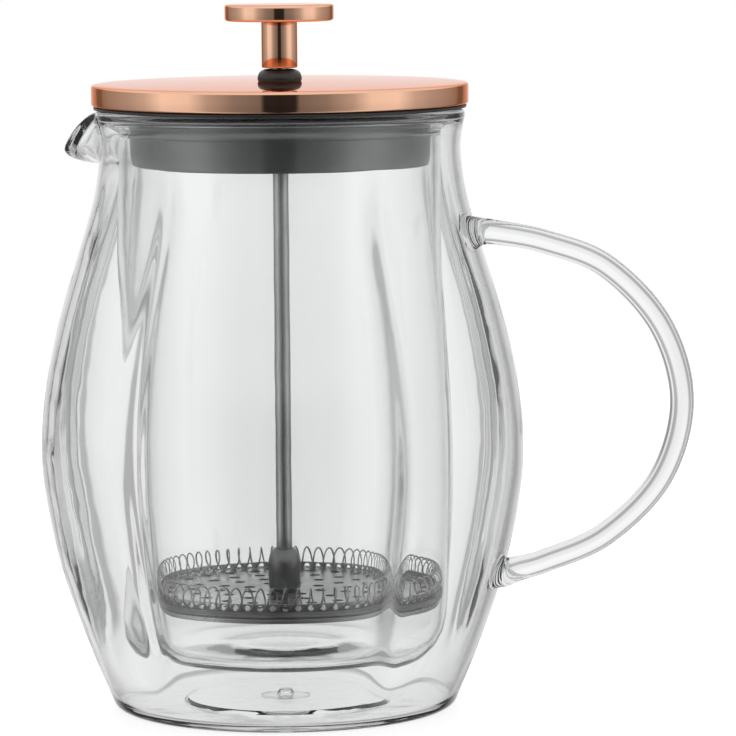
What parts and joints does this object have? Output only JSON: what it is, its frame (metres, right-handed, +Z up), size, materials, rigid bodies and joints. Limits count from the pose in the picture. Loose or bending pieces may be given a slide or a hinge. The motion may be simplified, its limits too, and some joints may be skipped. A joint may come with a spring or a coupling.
{
  "type": "french press",
  "caption": "Double-wall glass french press with a lobed barrel shell, pulled spout, round glass handle, rose-gold metal lid and knob, and a sliding plunger with a sprung mesh filter head.",
  "frame": {"origin": "centre of the flat underside of the base, on the axis of the vessel", "axes": "+Z up along the plunger, +X towards the handle, the spout points to -X"},
  "size_m": [0.1912, 0.14, 0.205],
  "materials": {
    "glass": "clear borosilicate glass",
    "clear_silicone": "clear silicone",
    "rose_gold": "polished rose-gold plated steel",
    "steel": "bright stainless steel",
    "dark_steel": "dark stainless steel",
    "filter_steel": "grey stainless steel",
    "grey_silicone": "matt dark grey silicone",
    "black_rubber": "satin black rubber"
  },
  "bodies": {
    "vessel": {"outer_glass_shell": "glass", "inner_glass_vessel": "glass", "glass_handle": "glass", "base_vent_plug": "clear_silicone"},
    "lid": {"lid_cover": "rose_gold", "lid_collar": "steel", "lid_seal": "grey_silicone", "lid_bush": "black_rubber", "lid_bush_nut": "steel"},
    "plunger": {"knob_cap": "rose_gold", "knob_stem": "rose_gold", "plunger_rod": "steel", "rod_hub": "dark_steel"},
    "filter": {"spiral_plate": "filter_steel", "edge_spring": "filter_steel", "filter_mesh": "filter_steel", "cross_plate": "filter_steel", "filter_stud": "steel"}
  },
  "joints": [
    {"name": "lid_lift", "type": "slide", "parent": "vessel", "child": "lid", "axis": [0, 0, 1], "range_m": [0, 0.16]},
    {"name": "plunger_slide", "type": "slide", "parent": "lid", "child": "plunger", "axis": [0, 0, 1], "range_m": [0, 0.109]},
    {"name": "filter_unscrew", "type": "hinge", "parent": "plunger", "child": "filter", "pos_m": [0, 0, 0.0346], "axis": [0, 0, 1], "range_deg": [-2160, 0]}
  ]
}
